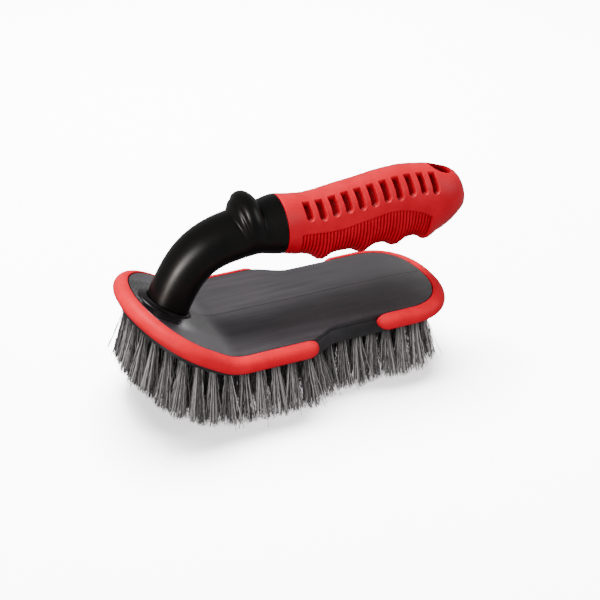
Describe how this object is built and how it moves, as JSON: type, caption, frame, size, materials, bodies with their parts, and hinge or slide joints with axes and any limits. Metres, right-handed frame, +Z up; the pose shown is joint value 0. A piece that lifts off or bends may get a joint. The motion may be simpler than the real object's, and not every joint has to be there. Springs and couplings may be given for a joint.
{
  "type": "wheel brush",
  "caption": "Hand brush with an upturned hourglass head of bristle tufts, soft edge bumpers and a gooseneck handle with a slotted rubber grip and a hanging hole.",
  "frame": {"origin": "middle of the brush's bounding box at the plane of the bristle tips", "axes": "+X from the raised nose to the grip's tail, +Y across the head, +Z up away from the bristles"},
  "size_m": [0.2152, 0.1012, 0.1192],
  "materials": {
    "deck_plastic": "fine lengthwise grain, satin",
    "block_plastic": "matte",
    "neck_plastic": "glossy",
    "red_rubber": "smooth, satin",
    "bristle_nylon": "crimped filaments",
    "screw_steel": "plain"
  },
  "bodies": {
    "root": {"deck_cover": "deck_plastic", "tuft_block": "block_plastic", "nose_bumper": "red_rubber", "tail_bumper": "red_rubber", "handle_core": "neck_plastic", "grip_sleeve": "red_rubber", "handle_screw": "screw_steel", "cover_screw_1": "screw_steel", "cover_screw_2": "screw_steel", "cover_screw_3": "screw_steel", "edge_tufts_01": "bristle_nylon", "edge_tufts_02": "bristle_nylon", "edge_tufts_03": "bristle_nylon", "edge_tufts_04": "bristle_nylon", "edge_tufts_05": "bristle_nylon", "edge_tufts_06": "bristle_nylon", "edge_tufts_07": "bristle_nylon", "edge_tufts_08": "bristle_nylon", "tuft_row_01": "bristle_nylon", "tuft_row_02": "bristle_nylon", "tuft_row_03": "bristle_nylon", "tuft_row_04": "bristle_nylon", "tuft_row_05": "bristle_nylon", "tuft_row_06": "bristle_nylon", "tuft_row_07": "bristle_nylon", "tuft_row_08": "bristle_nylon", "tuft_row_09": "bristle_nylon", "tuft_row_10": "bristle_nylon", "tuft_row_11": "bristle_nylon", "tuft_row_12": "bristle_nylon", "tuft_row_13": "bristle_nylon", "tuft_row_14": "bristle_nylon", "tuft_row_15": "bristle_nylon", "tuft_row_16": "bristle_nylon", "tuft_row_17": "bristle_nylon", "tuft_row_18": "bristle_nylon", "tuft_row_19": "bristle_nylon"}
  },
  "joints": []
}
